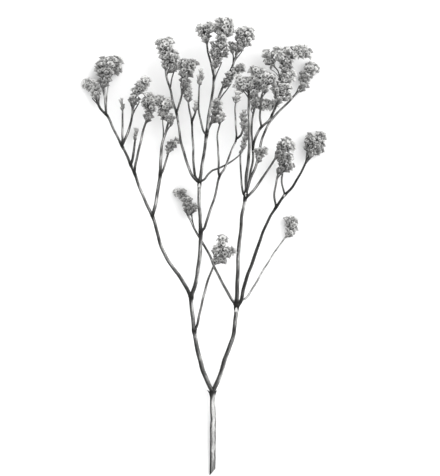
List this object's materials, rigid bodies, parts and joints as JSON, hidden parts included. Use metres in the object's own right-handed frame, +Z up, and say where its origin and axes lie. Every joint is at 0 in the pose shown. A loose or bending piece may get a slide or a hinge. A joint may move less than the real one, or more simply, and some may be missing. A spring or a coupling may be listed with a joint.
{
  "type": "dried statice sprig",
  "caption": "Cut sprig of dried statice lying on its side: a forked wiry stem with thin side stalks that carry dense clusters of small papery cups.",
  "frame": {"origin": "on the surface that the sprig lies on, under the middle of its box", "axes": "+Y along the main stem from its cut end towards the flower heads, +Z up from the surface, +X to the right seen from above"},
  "size_m": [0.1966, 0.367, 0.0524],
  "materials": {
    "stem": "dry wiry stem, finely ridged, matte, charcoal with paler streaks",
    "floret": "dry papery cups, matte, silver grey with dark rims and throats"
  },
  "bodies": {
    "root": {"main_stem": "stem", "left_limb": "stem", "right_limb": "stem", "left_branch": "stem", "right_branch": "stem", "low_left_stalk": "stem", "low_centre_stalk": "stem", "low_right_stalk": "stem", "far_left_top_stalk": "stem", "left_inner_stalk": "stem", "left_middle_stalk": "stem", "left_right_stalk": "stem", "upper_left_stalk": "stem", "upper_left_inner_stalk": "stem", "top_left_stalk": "stem", "top_right_stalk": "stem", "right_low_stalk": "stem", "far_right_top_stalk": "stem", "right_upper_stalk": "stem", "right_middle_stalk": "stem", "right_raised_stalk": "stem", "right_top_stalk": "stem", "right_lower_left_stalk": "stem", "right_lower_right_stalk": "stem", "left_long_bud": "floret", "left_short_bud": "floret", "left_curved_spike": "floret", "upper_left_spike": "floret", "upper_side_bud": "floret", "upper_middle_bud": "floret", "centre_branch": "floret", "centre_cup": "floret", "centre_spike": "floret", "inner_spike": "floret", "crossing_spike": "floret", "far_left_head": "floret", "far_left_top_head": "floret", "left_inner_head": "floret", "left_middle_head": "floret", "left_right_head": "floret", "upper_left_head": "floret", "upper_left_inner_head": "floret", "top_left_head": "floret", "top_centre_head": "floret", "top_right_head": "floret", "top_side_head": "floret", "middle_side_head": "floret", "right_inner_head": "floret", "right_raised_head": "floret", "right_top_head": "floret", "right_middle_head": "floret", "right_low_head": "floret", "far_right_top_head": "floret", "right_side_head": "floret", "right_upper_head": "floret", "right_lower_head": "floret", "far_right_head": "floret", "low_right_head": "floret", "low_centre_head": "floret", "low_left_head": "floret"}
  },
  "joints": []
}
